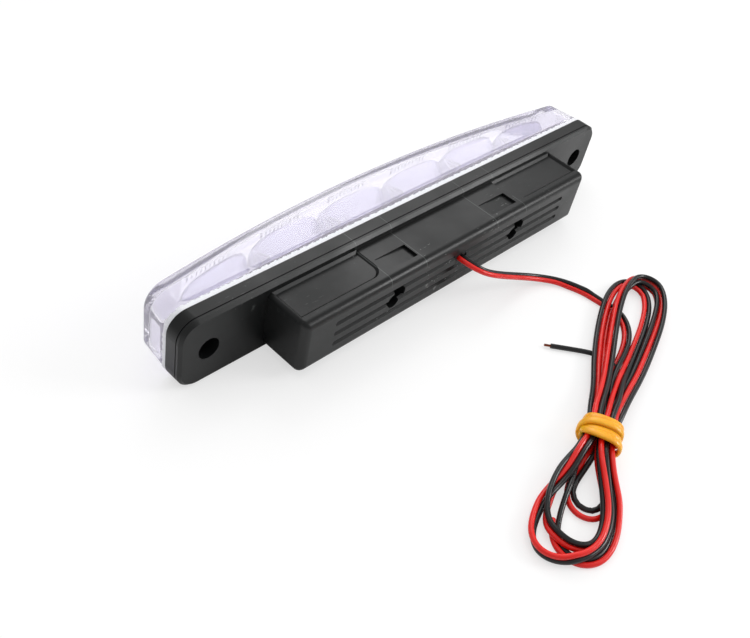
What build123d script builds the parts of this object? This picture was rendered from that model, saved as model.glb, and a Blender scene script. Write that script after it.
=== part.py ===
"""A slim six-lamp daytime running light on its long side, with its twin lead tied in a hank.

The clear front faces -Y and the black housing faces +Y. X runs along the lamp, and Z is up.
The origin is under the middle of the lamp, on the surface that it rests on. Millimetres.
"""

import os
from math import cos, hypot, radians, sin, tan

from build123d import *

os.makedirs("parts", exist_ok=True)

# Driving dimensions of the black housing: a flange with an ear at each end, and a narrower box behind it
lamp_length = 170.0
lamp_height = 21.0
flange_thickness = 5.4
flange_corner_radius = 5.5
flange_bevel = 0.8
band_groove_width = 0.3
band_groove_depth = 0.3
band_groove_setback = 1.5
box_length = 118.0
box_height = 16.6
box_depth = 14.2
box_rear_radius = 2.2
box_end_radius = 1.2
box_hollow_radius = 0.8
housing_wall = 2.0
rim_wall = 1.8
tray_skin = 1.6

# Features moulded into the housing
ear_hole_spacing = 152.8
ear_hole_radius = 3.1
ear_hole_depth = 4.4
ear_boss_wall = 1.8
ear_boss_floor = 0.6
panel_start = 28.5
panel_end_rim = 1.3
panel_width = 10.8
panel_depth = 0.6
panel_corner_radius = 4.0
panel_slope = 50.0
window_start = 15.9
window_length = 11.4
window_width = 5.2
window_setback = 5.6
window_depth_shallow = 0.15
window_depth_deep = 0.8
groove_count = 3
groove_pitch = 3.45
groove_half_length = 48.5
groove_width = 1.5
groove_depth = 0.8
groove_slope = 30.0
well_offset = 25.9
well_lobe_radius = 2.2
well_lobe_shift = 1.9
well_lobe_rise = 1.9
well_tube_wall = 1.4
exit_hole_radius = 2.5
exit_hole_lift = 2.4
peg_radius = 1.3

# The clear cover, with its outward bow
lens_depth_middle = 17.3
lens_depth_end = 11.7
lens_end_station = 76.6
lens_inset = 0.1
lens_wall = 2.0
lens_front_wall = 2.4
lens_end_slope = 1.8
lens_edge_radius = 0.8
flutes_per_cup = 10
flute_pitch = 1.5
flute_radius = 1.0
flute_height = 0.5
sealant_thickness = 0.4

# The optic strip: six parabolic cups in a row, carried by a base strip
cup_count = 6
cup_pitch = 25.5
cup_wall = 1.2
cup_depth = 11.8
cup_floor_half_width = 4.5
cusp_width = 0.6
strip_side_gap = 0.4
strip_end_margin = 0.8
strip_end_gap = 0.4
strip_front_gap = 0.5
base_strip_thickness = 2.3
fan_rib_thickness = 0.7
fan_rib_spread = 3.4
fan_rib_inset = 0.5

# The white plate, the light-emitting diodes and their board
plate_thickness = 1.0
plate_side_gap = 0.3
plate_boss_wall = 1.0
board_thickness = 1.2
board_height = 15.6
board_end_gap = 0.8
diode_side = 5.0
diode_thickness = 1.4
diode_dome_radius = 2.2
diode_dome_height = 1.7
diode_dome_chamfer = 1.0
diode_window_gap = 0.3
dome_gap = 0.2
resistor_length = 3.2
resistor_width = 1.6
resistor_thickness = 0.6
resistor_spacing = 51.0

# The driver board in the rear box
driver_length = 36.0
driver_height = 12.0
driver_setback = 6.9
peg_inset = 2.4
regulator_length = 5.0
regulator_width = 4.0
regulator_thickness = 1.6
regulator_offset = -9.0
capacitor_radius = 2.4
capacitor_length = 5.4
capacitor_offset = 9.0
rectifier_length = 4.3
rectifier_width = 2.6
rectifier_thickness = 2.0
rectifier_lift = 3.2
link_block_length = 5.1
link_block_height = 2.5
link_block_thickness = 2.5
link_drop = 3.0
link_pin_radius = 0.35
link_pin_pitch = 2.54

# The case screws
screw_head_radius = 2.0
screw_head_height = 1.6
screw_shank_radius = 1.1
screw_hole_gap = 0.1
screw_tip_reach = 1.2
cross_slot_width = 0.7
cross_slot_length = 2.6
cross_slot_depth = 0.9

# The twin lead: two insulated wires side by side, the seal that they leave by, and their bare end
wire_diameter = 1.4
wire_pitch = 1.45
wire_facets = 8
seal_recess = 0.4
seal_gap = 0.05
seal_flange_radius = 3.4
seal_flange_thickness = 1.0
bare_length = 1.8
bare_diameter = 0.7

# Middle line of the pair, from the seal down to the rest surface and along it to the hank
lead_route = [
    (0.0, 18.05, 12.9),
    (0.0, 22.6, 12.9),
    (-3.0, 25.8, 11.0),
    (-9.4, 27.3, 8.0),
    (-17.6, 28.4, 4.4),
    (-25.0, 30.7, 1.9),
    (-30.8, 35.4, 1.0),
    (-33.5, 43.0, 0.9),
    (-34.5, 51.0, 1.8),
]

# Middle line of the black wire's loose end, from the hank to its bare tip
tail_route = [
    (-14.6, 63.2, 1.0),
    (-13.9, 60.0, 0.9),
    (-10.2, 55.4, 0.8),
    (-5.9, 50.6, 0.8),
]

# The hank: sections along its axis, as station, side shift, half width, half height and height of the middle
hank_centre = (11.5, 80.2)
hank_turn = 23.8
hank_sections = [
    (-74.5, -0.5, 1.5, 1.2, 1.6),
    (-70.0, -0.5, 5.5, 1.9, 2.0),
    (-60.0, -1.0, 8.8, 2.2, 2.25),
    (-48.0, -1.2, 9.2, 2.2, 2.25),
    (-31.0, -1.1, 7.6, 2.3, 2.4),
    (-14.0, -1.2, 5.2, 2.5, 3.0),
    (-6.0, -1.2, 4.8, 2.4, 3.75),
    (6.0, -1.2, 4.8, 2.4, 3.75),
    (12.0, -1.2, 7.0, 2.3, 2.8),
    (24.0, -0.5, 9.3, 2.2, 2.3),
    (34.0, -1.0, 9.3, 2.1, 2.2),
    (39.0, -1.8, 5.5, 1.7, 1.8),
    (41.5, -1.8, 1.5, 1.2, 1.6),
]
hank_facets = 12
pocket_clearance = 0.6
pocket_reach = 9.0

# Rubber band round the waist of the hank
band_gap = 0.1
band_thickness = 1.2
band_width = 8.6

# Heights and depths that follow from the sizes above
half_length = lamp_length / 2
mid_height = lamp_height / 2
lamp_depth = lens_depth_middle + flange_thickness + box_depth
front_y = -lamp_depth / 2
rear_y = lamp_depth / 2
flange_front_y = front_y + lens_depth_middle
flange_rear_y = flange_front_y + flange_thickness
tray_floor_y = flange_rear_y - tray_skin
boss_front_y = flange_rear_y - ear_hole_depth - ear_boss_floor
box_top_z = mid_height + box_height / 2
box_inner_rear_y = rear_y - housing_wall
exit_z = mid_height + exit_hole_lift
lens_foot_y = flange_front_y - sealant_thickness
lens_height = lamp_height - 2 * lens_inset
lens_sagitta = lens_depth_middle - lens_depth_end
bow_radius = (lens_end_station**2 + lens_sagitta**2) / (2 * lens_sagitta)
bow_centre_y = front_y + bow_radius
lens_hollow_height = lens_height - 2 * lens_wall
plate_front_y = boss_front_y - plate_thickness
board_front_y = tray_floor_y - board_thickness
driver_rear_y = box_inner_rear_y - driver_setback
driver_front_y = driver_rear_y - board_thickness
well_floor_y = flange_rear_y
screw_stations = [side * well_offset + well_lobe_shift / 2 for side in (1, -1)]
screw_places = [(station, 0) for station in screw_stations]
well_lobes = screw_places + [(station - well_lobe_shift, well_lobe_rise) for station in screw_stations]
cup_centres = [cup_pitch * (n - (cup_count - 1) / 2) for n in range(cup_count)]


def facing_front(y):
    """The plane square to Y at this depth: its own axes are X and Z, and it extrudes towards the front."""
    return Plane.XZ.offset(-y)


# Housing: flange tray and rear box as one hollow moulding
with BuildPart() as housing:
    with BuildSketch(facing_front(flange_rear_y)):
        with Locations((0, mid_height)):
            RectangleRounded(lamp_length, lamp_height, flange_corner_radius)
    extrude(amount=flange_thickness)
    chamfer(housing.faces().sort_by(Axis.Y)[-1].edges(), flange_bevel)

    # Rear box, with softly rounded rear edges
    with BuildSketch(facing_front(rear_y)):
        with Locations((0, mid_height)):
            RectangleRounded(box_length, box_height, box_end_radius)
    extrude(amount=box_depth)
    fillet(housing.faces().sort_by(Axis.Y)[-1].edges(), box_rear_radius)

    # Fine groove round the flange band, just ahead of its rear edge
    with BuildSketch(facing_front(flange_rear_y - band_groove_setback)):
        with Locations((0, mid_height)):
            RectangleRounded(lamp_length, lamp_height, flange_corner_radius)
            RectangleRounded(
                lamp_length - 2 * band_groove_depth,
                lamp_height - 2 * band_groove_depth,
                flange_corner_radius - band_groove_depth,
                mode=Mode.SUBTRACT,
            )
    extrude(amount=band_groove_width, mode=Mode.SUBTRACT)

    # Open tray in front, with a boss left round each ear hole
    with BuildSketch(facing_front(tray_floor_y)):
        with Locations((0, mid_height)):
            RectangleRounded(
                lamp_length - 2 * rim_wall,
                lamp_height - 2 * rim_wall,
                flange_corner_radius - rim_wall,
            )
        with Locations((0, mid_height)):
            with GridLocations(ear_hole_spacing, 1, 2, 1):
                Circle(ear_hole_radius + ear_boss_wall, mode=Mode.SUBTRACT)
    extrude(amount=flange_thickness, mode=Mode.SUBTRACT)
    with BuildSketch(facing_front(boss_front_y)):
        with Locations((0, mid_height)):
            with GridLocations(ear_hole_spacing, 1, 2, 1):
                Circle(ear_hole_radius + ear_boss_wall)
    extrude(amount=boss_front_y - flange_front_y, mode=Mode.SUBTRACT)

    # Hollow of the rear box, open to the tray
    with BuildSketch(facing_front(box_inner_rear_y)):
        with Locations((0, mid_height)):
            RectangleRounded(
                box_length - 2 * housing_wall,
                box_height - 2 * housing_wall,
                box_hollow_radius,
            )
    extrude(amount=box_inner_rear_y - tray_floor_y, mode=Mode.SUBTRACT)

    # Tubes of the two screw wells, and pegs that carry the driver board
    with BuildSketch(facing_front(box_inner_rear_y)):
        with Locations((0, mid_height)):
            with Locations(*well_lobes):
                Circle(well_lobe_radius + well_tube_wall)
    extrude(amount=box_inner_rear_y - tray_floor_y)
    with BuildSketch(facing_front(box_inner_rear_y)):
        with Locations((0, mid_height)):
            with GridLocations(driver_length - 2 * peg_inset, driver_height - 2 * peg_inset, 2, 2):
                Circle(peg_radius)
    extrude(amount=driver_setback)

    # The wells, each of two round holes that run into each other, with a screw hole in its floor
    with BuildSketch(facing_front(rear_y)):
        with Locations((0, mid_height)):
            with Locations(*well_lobes):
                Circle(well_lobe_radius)
    extrude(amount=box_depth, mode=Mode.SUBTRACT)
    with BuildSketch(facing_front(rear_y)):
        with Locations((0, mid_height)):
            with Locations(*screw_places):
                Circle(screw_shank_radius + screw_hole_gap)
    extrude(amount=box_depth + tray_skin, mode=Mode.SUBTRACT)

    # Long grooves along the rear face
    with BuildSketch(facing_front(rear_y)):
        with Locations((0, mid_height)):
            with GridLocations(1, groove_pitch, 1, groove_count):
                SlotOverall(2 * groove_half_length, groove_width)
    extrude(amount=groove_depth, taper=groove_slope, mode=Mode.SUBTRACT)

    # Hole for the lead
    with BuildSketch(facing_front(rear_y)):
        with Locations((0, exit_z)):
            Circle(exit_hole_radius)
    extrude(amount=housing_wall, mode=Mode.SUBTRACT)

    # Blind holes in the ears
    with BuildSketch(facing_front(flange_rear_y)):
        with Locations((0, mid_height)):
            with GridLocations(ear_hole_spacing, 1, 2, 1):
                Circle(ear_hole_radius)
    extrude(amount=ear_hole_depth, mode=Mode.SUBTRACT)

    # Sunken end panels with soft inner borders, on the top and the underside
    panel_run = box_length / 2 - panel_end_rim - panel_start
    panel_middle = panel_start + panel_run / 2
    for face_z, outward in ((box_top_z, 1), (lamp_height - box_top_z, -1)):
        for side in (1, -1):
            with BuildSketch(Plane.XY.offset(face_z)):
                with Locations((side * panel_middle, flange_rear_y + panel_width / 2)):
                    Rectangle(panel_run, panel_width)
                inner_corner = (
                    vertices().sort_by(Axis.Y)[-2:].sort_by(lambda corner: abs(corner.X))[0]
                )
                fillet(inner_corner, panel_corner_radius)
            extrude(amount=-outward * panel_depth, taper=panel_slope, mode=Mode.SUBTRACT)

    # Latch windows beside the rear edge of the top, each a ramp that deepens towards -X
    with BuildSketch(facing_front(flange_rear_y + window_setback + window_width)):
        for window_low_x in (window_start, -window_start - window_length):
            with Locations((window_low_x, box_top_z)):
                Polygon(
                    (0, 0),
                    (0, -window_depth_deep),
                    (window_length, -window_depth_shallow),
                    (window_length, 0),
                    align=None,
                )
    extrude(amount=window_width, mode=Mode.SUBTRACT)
housing.part.label = "housing"
export_step(housing.part, "parts/housing.step")


# Plan of the cover: straight foot, sloping ends and bowed front, moved in by the walls
def behind_bow(end_setback, front_setback, rear):
    """A sketch of what the sloping ends and the bowed front enclose, as far back as the rear line."""
    foot_half = half_length - lens_inset - end_setback
    front_half = foot_half - lens_end_slope
    with BuildSketch() as region:
        with BuildLine():
            Polyline(
                (-foot_half, lens_foot_y),
                (-front_half, front_y),
                (front_half, front_y),
                (foot_half, lens_foot_y),
                close=True,
            )
        make_face()
        with Locations((0, bow_centre_y)):
            Circle(bow_radius - front_setback, mode=Mode.INTERSECT)
        with Locations((0, rear)):
            Rectangle(lamp_length, lamp_depth, align=(Align.CENTER, Align.MAX), mode=Mode.INTERSECT)
    return region.sketch


# Hollow of the cover, with standing flutes on its front wall before each cup
flute_bow_radius = bow_radius - lens_front_wall + flute_radius - flute_height
flute_stations = [
    centre + flute_pitch * (n - (flutes_per_cup - 1) / 2)
    for centre in cup_centres
    for n in range(flutes_per_cup)
]
with BuildPart() as lens_hollow:
    with BuildSketch(Plane.XY.offset(lens_inset + lens_wall)):
        add(behind_bow(lens_wall, lens_front_wall, lens_foot_y))
    extrude(amount=lens_hollow_height)
    for end_face in (lens_hollow.faces().sort_by(Axis.X)[0], lens_hollow.faces().sort_by(Axis.X)[-1]):
        fillet(end_face.edges().filter_by(Axis.Z, reverse=True), flange_corner_radius - lens_wall)
    with BuildSketch():
        with Locations(
            *[(x, bow_centre_y - (flute_bow_radius**2 - x**2) ** 0.5) for x in flute_stations]
        ):
            Circle(flute_radius)
    extrude(amount=lamp_height, mode=Mode.SUBTRACT)

# Clear front cover
with BuildPart() as lens_cover:
    with BuildSketch(Plane.XY.offset(lens_inset)):
        add(behind_bow(0, 0, lens_foot_y))
    extrude(amount=lens_height)
    for end_face in (lens_cover.faces().sort_by(Axis.X)[0], lens_cover.faces().sort_by(Axis.X)[-1]):
        fillet(end_face.edges().filter_by(Axis.Z, reverse=True), flange_corner_radius)
    fillet(lens_cover.faces().sort_by(Axis.Y)[0].edges(), lens_edge_radius)
    add(lens_hollow.part, mode=Mode.SUBTRACT)
lens_cover.part.label = "lens_cover"
export_step(lens_cover.part, "parts/lens_cover.step")

# Bead of sealant between the cover's foot and the rim of the tray
with BuildPart() as sealant_bead:
    with BuildSketch(facing_front(flange_front_y)):
        with Locations((0, mid_height)):
            RectangleRounded(lamp_length, lamp_height, flange_corner_radius)
            RectangleRounded(
                lamp_length - 2 * rim_wall,
                lamp_height - 2 * rim_wall,
                flange_corner_radius - rim_wall,
                mode=Mode.SUBTRACT,
            )
    extrude(amount=sealant_thickness)
sealant_bead.part.label = "sealant_bead"
export_step(sealant_bead.part, "parts/sealant_bead.step")


# Cup outline: the parabola behind a cup, exactly as a curve of second order
def parabola(centre, apex_y, half_width, rate):
    """The arc of y = apex - rate * x^2 between plus and minus the half width, about the centre."""
    drop = rate * half_width**2
    return Bezier(
        (centre - half_width, apex_y - drop),
        (centre, apex_y + drop),
        (centre + half_width, apex_y - drop),
    )


strip_rear_y = plate_front_y
inner_half_width = (cup_pitch - cusp_width) / 2
cup_rate = cup_depth / inner_half_width**2
dome_tip_y = board_front_y - diode_thickness - diode_dome_height
cup_floor_y = strip_rear_y - base_strip_thickness
cup_apex_y = cup_floor_y + cup_rate * cup_floor_half_width**2
cusp_y = cup_apex_y - cup_depth
strip_length = cup_pitch * cup_count + 2 * strip_end_margin
strip_height = lens_hollow_height - 2 * strip_side_gap
strip_low_z = mid_height - strip_height / 2

# Optic strip: the cups, the fan of ribs behind each cusp, and the base strip
with BuildPart() as optic_strip:
    with BuildSketch(Plane.XY.offset(strip_low_z)):
        with Locations((0, strip_rear_y - base_strip_thickness / 2)):
            Rectangle(strip_length, base_strip_thickness)
        for centre in cup_centres:
            with BuildLine():
                inside = parabola(centre, cup_apex_y, inner_half_width, cup_rate)
                outside = parabola(centre, cup_apex_y + cup_wall, cup_pitch / 2, cup_rate)
                Polyline(inside @ 0, (centre - cup_pitch / 2, cusp_y), outside @ 0)
                Polyline(inside @ 1, (centre + cup_pitch / 2, cusp_y), outside @ 1)
            make_face()
        for cusp_x in [centre + cup_pitch / 2 for centre in cup_centres[:-1]]:
            for lean in (-1, 0, 1):
                with BuildLine():
                    Line(
                        (cusp_x, cusp_y + fan_rib_inset),
                        (cusp_x + lean * fan_rib_spread, strip_rear_y - base_strip_thickness / 2),
                    )
                    offset(amount=fan_rib_thickness / 2)
                make_face()
    extrude(amount=strip_height)
    with BuildSketch():
        bow_clearance = lens_front_wall + flute_height + strip_front_gap
        add(behind_bow(lens_wall + strip_end_gap, bow_clearance, strip_rear_y))
    extrude(amount=lamp_height, mode=Mode.INTERSECT)
    with BuildSketch(facing_front(strip_rear_y)):
        with Locations((0, mid_height)):
            with GridLocations(cup_pitch, 1, cup_count, 1):
                Circle(diode_dome_radius + dome_gap)
    extrude(amount=strip_rear_y - dome_tip_y + dome_gap, mode=Mode.SUBTRACT)
optic_strip.part.label = "optic_strip"
export_step(optic_strip.part, "parts/optic_strip.step")

# White plate behind the cups, with a window for each diode and two screw bosses on its back
screw_hole_radius = screw_shank_radius + screw_hole_gap
with BuildPart() as reflector_plate:
    with BuildSketch(facing_front(boss_front_y)):
        with Locations((0, mid_height)):
            RectangleRounded(
                lamp_length - 2 * (lens_inset + lens_wall + plate_side_gap),
                lens_hollow_height - 2 * plate_side_gap,
                flange_corner_radius - lens_wall,
            )
            with GridLocations(cup_pitch, 1, cup_count, 1):
                Rectangle(
                    diode_side + 2 * diode_window_gap,
                    diode_side + 2 * diode_window_gap,
                    mode=Mode.SUBTRACT,
                )
    extrude(amount=plate_thickness)
    with BuildSketch(facing_front(board_front_y)):
        with Locations((0, mid_height)):
            with Locations(*screw_places):
                Circle(screw_hole_radius + plate_boss_wall)
    extrude(amount=board_front_y - boss_front_y)
    with BuildSketch(facing_front(board_front_y)):
        with Locations((0, mid_height)):
            with Locations(*screw_places):
                Circle(screw_hole_radius)
    extrude(amount=board_front_y - boss_front_y, mode=Mode.SUBTRACT)
reflector_plate.part.label = "reflector_plate"
export_step(reflector_plate.part, "parts/reflector_plate.step")

# Diode board on the floor of the tray
board_half_length = ear_hole_spacing / 2 - ear_hole_radius - ear_boss_wall - board_end_gap
with BuildPart() as diode_board:
    with BuildSketch(facing_front(tray_floor_y)):
        with Locations((0, mid_height)):
            Rectangle(2 * board_half_length, board_height)
            with Locations(*screw_places):
                Circle(screw_hole_radius, mode=Mode.SUBTRACT)
    extrude(amount=board_thickness)
diode_board.part.label = "diode_board"
export_step(diode_board.part, "parts/diode_board.step")

# Light-emitting diodes, one behind each cup: a square body and a clear round lens moulded as one
for number, centre in enumerate(cup_centres, 1):
    with BuildPart() as light_diode:
        with BuildSketch(facing_front(board_front_y)):
            with Locations((centre, mid_height)):
                Rectangle(diode_side, diode_side)
        extrude(amount=diode_thickness)
        with BuildSketch(facing_front(board_front_y - diode_thickness)):
            with Locations((centre, mid_height)):
                Circle(diode_dome_radius)
        extrude(amount=diode_dome_height)
        chamfer(light_diode.faces().sort_by(Axis.Y)[0].edges(), diode_dome_chamfer)
    light_diode.part.label = f"light_diode_{number}"
    export_step(light_diode.part, f"parts/light_diode_{number}.step")

# Chip resistors between the diodes
for number, station in enumerate((-resistor_spacing, 0, resistor_spacing), 1):
    with BuildPart() as resistor:
        with BuildSketch(facing_front(board_front_y)):
            with Locations((station, mid_height)):
                Rectangle(resistor_length, resistor_width)
        extrude(amount=resistor_thickness)
    resistor.part.label = f"resistor_{number}"
    export_step(resistor.part, f"parts/resistor_{number}.step")

# Driver board on its four pegs
with BuildPart() as driver_board:
    with BuildSketch(facing_front(driver_rear_y)):
        with Locations((0, mid_height)):
            Rectangle(driver_length, driver_height)
    extrude(amount=board_thickness)
driver_board.part.label = "driver_board"
export_step(driver_board.part, "parts/driver_board.step")

# Voltage regulator
with BuildPart() as regulator:
    with BuildSketch(facing_front(driver_front_y)):
        with Locations((regulator_offset, mid_height)):
            Rectangle(regulator_length, regulator_width)
    extrude(amount=regulator_thickness)
regulator.part.label = "regulator"
export_step(regulator.part, "parts/regulator.step")

# Smoothing capacitor, standing on the board
with BuildPart() as capacitor:
    with BuildSketch(facing_front(driver_front_y)):
        with Locations((capacitor_offset, mid_height)):
            Circle(capacitor_radius)
    extrude(amount=capacitor_length)
capacitor.part.label = "capacitor"
export_step(capacitor.part, "parts/capacitor.step")

# Rectifier that guards against reversed wires
with BuildPart() as rectifier:
    with BuildSketch(facing_front(driver_front_y)):
        with Locations((0, mid_height + rectifier_lift)):
            Rectangle(rectifier_length, rectifier_width)
    extrude(amount=rectifier_thickness)
rectifier.part.label = "rectifier"
export_step(rectifier.part, "parts/rectifier.step")

# Two-pin link from the driver board to the diode board
with BuildPart() as board_link:
    with BuildSketch(facing_front(driver_front_y)):
        with Locations((0, mid_height - link_drop)):
            Rectangle(link_block_length, link_block_height)
    extrude(amount=link_block_thickness)
    with BuildSketch(facing_front(driver_front_y)):
        with Locations((0, mid_height - link_drop)):
            with GridLocations(link_pin_pitch, 1, 2, 1):
                Circle(link_pin_radius)
    extrude(amount=driver_front_y - tray_floor_y)
board_link.part.label = "board_link"
export_step(board_link.part, "parts/board_link.step")

# Case screws at the floor of the two wells, with a cross recess in the head
for name, station in zip(("case_screw_right", "case_screw_left"), screw_stations):
    with BuildPart() as case_screw:
        with BuildSketch(facing_front(well_floor_y + screw_head_height)):
            with Locations((station, mid_height)):
                Circle(screw_head_radius)
        extrude(amount=screw_head_height)
        with BuildSketch(facing_front(well_floor_y)):
            with Locations((station, mid_height)):
                Circle(screw_shank_radius)
        extrude(amount=well_floor_y - board_front_y + screw_tip_reach)
        with BuildSketch(facing_front(well_floor_y + screw_head_height)):
            with Locations((station, mid_height)):
                Rectangle(cross_slot_length, cross_slot_width)
                Rectangle(cross_slot_width, cross_slot_length)
        extrude(amount=cross_slot_depth, mode=Mode.SUBTRACT)
    case_screw.part.label = name
    export_step(case_screw.part, f"parts/{name}.step")

# Seal in the exit hole: a plug with a flange inside the wall
seal_face_y = rear_y - seal_recess
with BuildPart() as cable_seal:
    with BuildSketch(facing_front(seal_face_y)):
        with Locations((0, exit_z)):
            Circle(exit_hole_radius - seal_gap)
    extrude(amount=housing_wall - seal_recess)
    with BuildSketch(facing_front(box_inner_rear_y)):
        with Locations((0, exit_z)):
            Circle(seal_flange_radius)
    extrude(amount=seal_flange_thickness)
cable_seal.part.label = "cable_seal"
export_step(cable_seal.part, "parts/cable_seal.step")

# Wires inside the box, from the seal to the driver board
seal_inner_y = box_inner_rear_y - seal_flange_thickness
for name, side in (("inner_wire_red", 1), ("inner_wire_black", -1)):
    with BuildPart() as inner_wire:
        with BuildSketch(facing_front(seal_inner_y)):
            with Locations((side * wire_pitch / 2, exit_z)):
                Circle(wire_diameter / 2)
        extrude(amount=seal_inner_y - driver_rear_y)
    inner_wire.part.label = name
    export_step(inner_wire.part, f"parts/{name}.step")


def bend_radii(points):
    """For each inner point, 0.45 of the shorter run beside it over the tangent of half the turn."""
    places = [Vector(*point) for point in points]
    radii = []
    for before, corner, after in zip(places, places[1:], places[2:]):
        turn = (corner - before).get_angle(after - corner)
        shorter = min((corner - before).length, (after - corner).length)
        radii.append(0.45 * shorter / tan(radians(turn / 2)))
    return radii


def beside(points, shift):
    """The route moved level to the right of its run by the shift, with its corners kept parallel."""
    moved = []
    for n, (x, y, z) in enumerate(points):
        back = points[max(n - 1, 0)]
        ahead = points[min(n + 1, len(points) - 1)]
        legs = [(x - back[0], y - back[1]), (ahead[0] - x, ahead[1] - y)]
        legs = [(dx / hypot(dx, dy), dy / hypot(dx, dy)) for dx, dy in legs if hypot(dx, dy) > 0]
        rights = [(dy, -dx) for dx, dy in legs]
        sum_x = sum(right[0] for right in rights)
        sum_y = sum(right[1] for right in rights)
        scale = shift * len(rights) / hypot(sum_x, sum_y) ** 2
        moved.append((x + scale * sum_x, y + scale * sum_y, z))
    return moved


def wire(points, diameter, name):
    """A plain wire along straight runs joined by tangent arcs, its round section drawn with few facets."""
    radii = bend_radii(points)
    with BuildPart() as piece:
        with BuildLine() as route:
            FilletPolyline(*points, radius=radii)
        with BuildSketch(Plane(origin=route.line @ 0, z_dir=route.line % 0)):
            section = RegularPolygon(diameter / 2, wire_facets)
        sweep(path=route.line)
    length = route.wire().length
    fill = piece.part.volume / (section.area * length)
    print(name, "length", round(length, 1), "volume over section times length", round(fill, 4))
    print(name, "radii", [round(radius, 1) for radius in radii])
    piece.part.label = name
    export_step(piece.part, f"parts/{name}.step")
    return piece.part


wire(beside(lead_route, wire_pitch / 2), wire_diameter, "lead_red")
wire(beside(lead_route, -wire_pitch / 2), wire_diameter, "lead_black")
wire(tail_route, wire_diameter, "tail_black")

# Bare strands at the tip of the black wire
tip_direction = Vector(*tail_route[-1]) - Vector(*tail_route[-2])
with BuildPart() as bare_strands:
    with BuildSketch(Plane(origin=tail_route[-1], z_dir=tip_direction)):
        Circle(bare_diameter / 2)
    extrude(amount=bare_length)
bare_strands.part.label = "bare_strands"
export_step(bare_strands.part, "parts/bare_strands.step")


def across_hank(station, lift):
    """The plane square to the hank's axis at this station, at this height."""
    axis = Vector(1, 0, 0).rotate(Axis.Z, hank_turn)
    return Plane(
        origin=Vector(hank_centre[0], hank_centre[1], lift) + axis * station,
        x_dir=axis.rotate(Axis.Z, 90),
        z_dir=axis,
    )


# Hank: the outer shape of the folded lead, with a waist for the band and a pocket where each wire runs in
with BuildPart() as cord_hank:
    for station, shift, half_width, half_height, lift in hank_sections:
        with BuildSketch(across_hank(station, lift)):
            with Locations((shift, 0)):
                Polygon(
                    *[
                        (half_width * cos(radians(turn)), half_height * sin(radians(turn)))
                        for turn in range(0, 360, 360 // hank_facets)
                    ]
                )
    loft(ruled=True)
    for route, wires in ((lead_route, 2), (list(reversed(tail_route)), 1)):
        inward = Vector(*route[-1]) - Vector(*route[-2])
        with BuildSketch(Plane(origin=route[-1], x_dir=inward.cross(Vector(0, 0, 1)), z_dir=-inward)):
            Rectangle(
                wires * wire_diameter + 2 * pocket_clearance,
                wire_diameter + 2 * pocket_clearance,
            )
        extrude(amount=pocket_reach, mode=Mode.SUBTRACT)
cord_hank.part.label = "cord_hank"
export_step(cord_hank.part, "parts/cord_hank.step")

# Rubber band round the waist
waist = min(hank_sections, key=lambda row: row[2] if abs(row[0]) < band_width else 100)
with BuildPart() as rubber_band:
    with BuildSketch(across_hank(-band_width / 2, waist[4])):
        with Locations((waist[1], 0)):
            Ellipse(waist[2] + band_gap + band_thickness, waist[3] + band_gap + band_thickness)
            Ellipse(waist[2] + band_gap, waist[3] + band_gap, mode=Mode.SUBTRACT)
    extrude(amount=band_width)
rubber_band.part.label = "rubber_band"
export_step(rubber_band.part, "parts/rubber_band.step")
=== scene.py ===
# %% [markdown]
# # A daytime running light and its twin lead
# The lamp is a slim black ABS housing with a thick clear polycarbonate cover, a row of six clear cups
# inside it, and two thin vinyl wires that are folded into a hank and held by a rubber band.
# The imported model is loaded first. It holds every piece at its real size, in metres, and nothing of it
# is moved: this script gives each piece its finish, and puts finer meshes where a plain solid stands in.

# %% Load the frame
import math

import bmesh
import bpy
import numpy as np
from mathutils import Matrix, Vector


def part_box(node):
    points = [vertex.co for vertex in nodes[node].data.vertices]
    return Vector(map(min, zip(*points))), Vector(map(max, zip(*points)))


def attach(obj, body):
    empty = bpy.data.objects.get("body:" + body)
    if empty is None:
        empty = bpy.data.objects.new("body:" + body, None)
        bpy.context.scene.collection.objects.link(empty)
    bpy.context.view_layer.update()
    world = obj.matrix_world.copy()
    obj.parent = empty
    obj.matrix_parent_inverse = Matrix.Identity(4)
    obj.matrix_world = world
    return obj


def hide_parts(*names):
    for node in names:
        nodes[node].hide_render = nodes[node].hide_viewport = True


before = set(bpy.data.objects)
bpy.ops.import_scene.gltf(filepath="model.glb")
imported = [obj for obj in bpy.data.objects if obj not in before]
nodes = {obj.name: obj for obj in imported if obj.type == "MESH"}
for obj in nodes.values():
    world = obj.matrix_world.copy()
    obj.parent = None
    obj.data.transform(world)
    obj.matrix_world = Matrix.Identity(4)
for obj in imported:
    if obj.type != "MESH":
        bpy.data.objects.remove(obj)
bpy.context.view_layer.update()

scene = bpy.context.scene
mm = 0.001
print("pieces loaded:", len(nodes))

# %% [markdown]
# ## The camera
# The photograph looks down on the rear of the lamp from its right end. The camera could be aimed by eye,
# but the straight edges and round holes of the lamp fix it: its place, its three turns and its focal
# length were solved from them.

# %% Camera
camera_place = (180.77 * mm, 124.81 * mm, 173.35 * mm)
camera_turns = (46.88, -9.67, 134.69)
focal_pixels = 943.2
image_width = 750
optics = bpy.data.cameras.new("camera")
optics.sensor_fit = "HORIZONTAL"
optics.sensor_width = 36.0
optics.lens = focal_pixels / image_width * optics.sensor_width
optics.clip_start = 0.01
camera = bpy.data.objects.new("camera", optics)
camera.location = camera_place
camera.rotation_euler = [math.radians(turn) for turn in camera_turns]
scene.collection.objects.link(camera)
scene.camera = camera
print("focal length:", round(optics.lens, 2), "mm")

# %% [markdown]
# ## Meshes from arrays
# Every new piece is one or more grids of points, computed as whole arrays. Its rounded sections are circles
# whose cosine and sine are raised to a power, which makes them squarer. One function turns the grids into
# a smooth mesh, merges what meets at seams and poles, and turns the faces outward.


# %% From circles to a mesh
merge_distance, edge_least = 0.002, 0.001


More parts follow.
